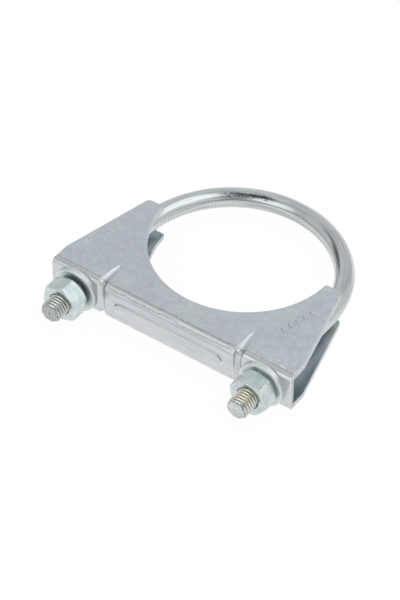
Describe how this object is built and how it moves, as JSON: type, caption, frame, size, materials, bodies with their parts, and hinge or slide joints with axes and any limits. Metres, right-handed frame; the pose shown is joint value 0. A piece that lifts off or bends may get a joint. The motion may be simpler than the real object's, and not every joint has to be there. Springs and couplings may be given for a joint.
{
  "type": "exhaust clamp",
  "caption": "Exhaust clamp: a round threaded U-bolt and a pressed channel saddle, drawn together by nuts to hold a pipe or slip joint.",
  "frame": {"origin": "centre of the U-bolt's bow, on the pipe's axis, at mid-height", "axes": "+Z along the pipe, +Y from the saddle towards the top of the bow, +X along the saddle's web; the legs point along -Y"},
  "size_m": [0.12, 0.1163, 0.021],
  "materials": {
    "zinc_bolt": "bright zinc plate, satin to glossy",
    "zinc_sheet": "bright zinc plate, satin",
    "zinc_washer": "bright zinc plate, satin",
    "zinc_nut": "bright zinc plate, satin"
  },
  "bodies": {
    "u_bolt": {"u_bolt": "zinc_bolt"},
    "saddle": {"saddle": "zinc_sheet", "washer_left": "zinc_washer", "washer_right": "zinc_washer"},
    "nut_left": {"nut_left": "zinc_nut"},
    "nut_right": {"nut_right": "zinc_nut"}
  },
  "joints": [
    {"name": "saddle_travel", "type": "slide", "parent": "u_bolt", "child": "saddle", "axis": [0, 1, 0], "range_m": [-0.007, 0.02]},
    {"name": "nut_left_turn", "type": "hinge", "parent": "saddle", "child": "nut_left", "pos_m": [-0.0469, -0.053, 0], "axis": [0, 1, 0], "range_deg": [-1700, 4820]},
    {"name": "nut_right_turn", "type": "hinge", "parent": "saddle", "child": "nut_right", "pos_m": [0.0469, -0.053, 0], "axis": [0, 1, 0], "range_deg": [-1700, 4820]}
  ],
  "couplings": [
    {"joint": "nut_left_turn", "follows": "saddle_travel", "rad_per_m": 4188.8},
    {"joint": "nut_right_turn", "follows": "saddle_travel", "rad_per_m": 4188.8}
  ]
}
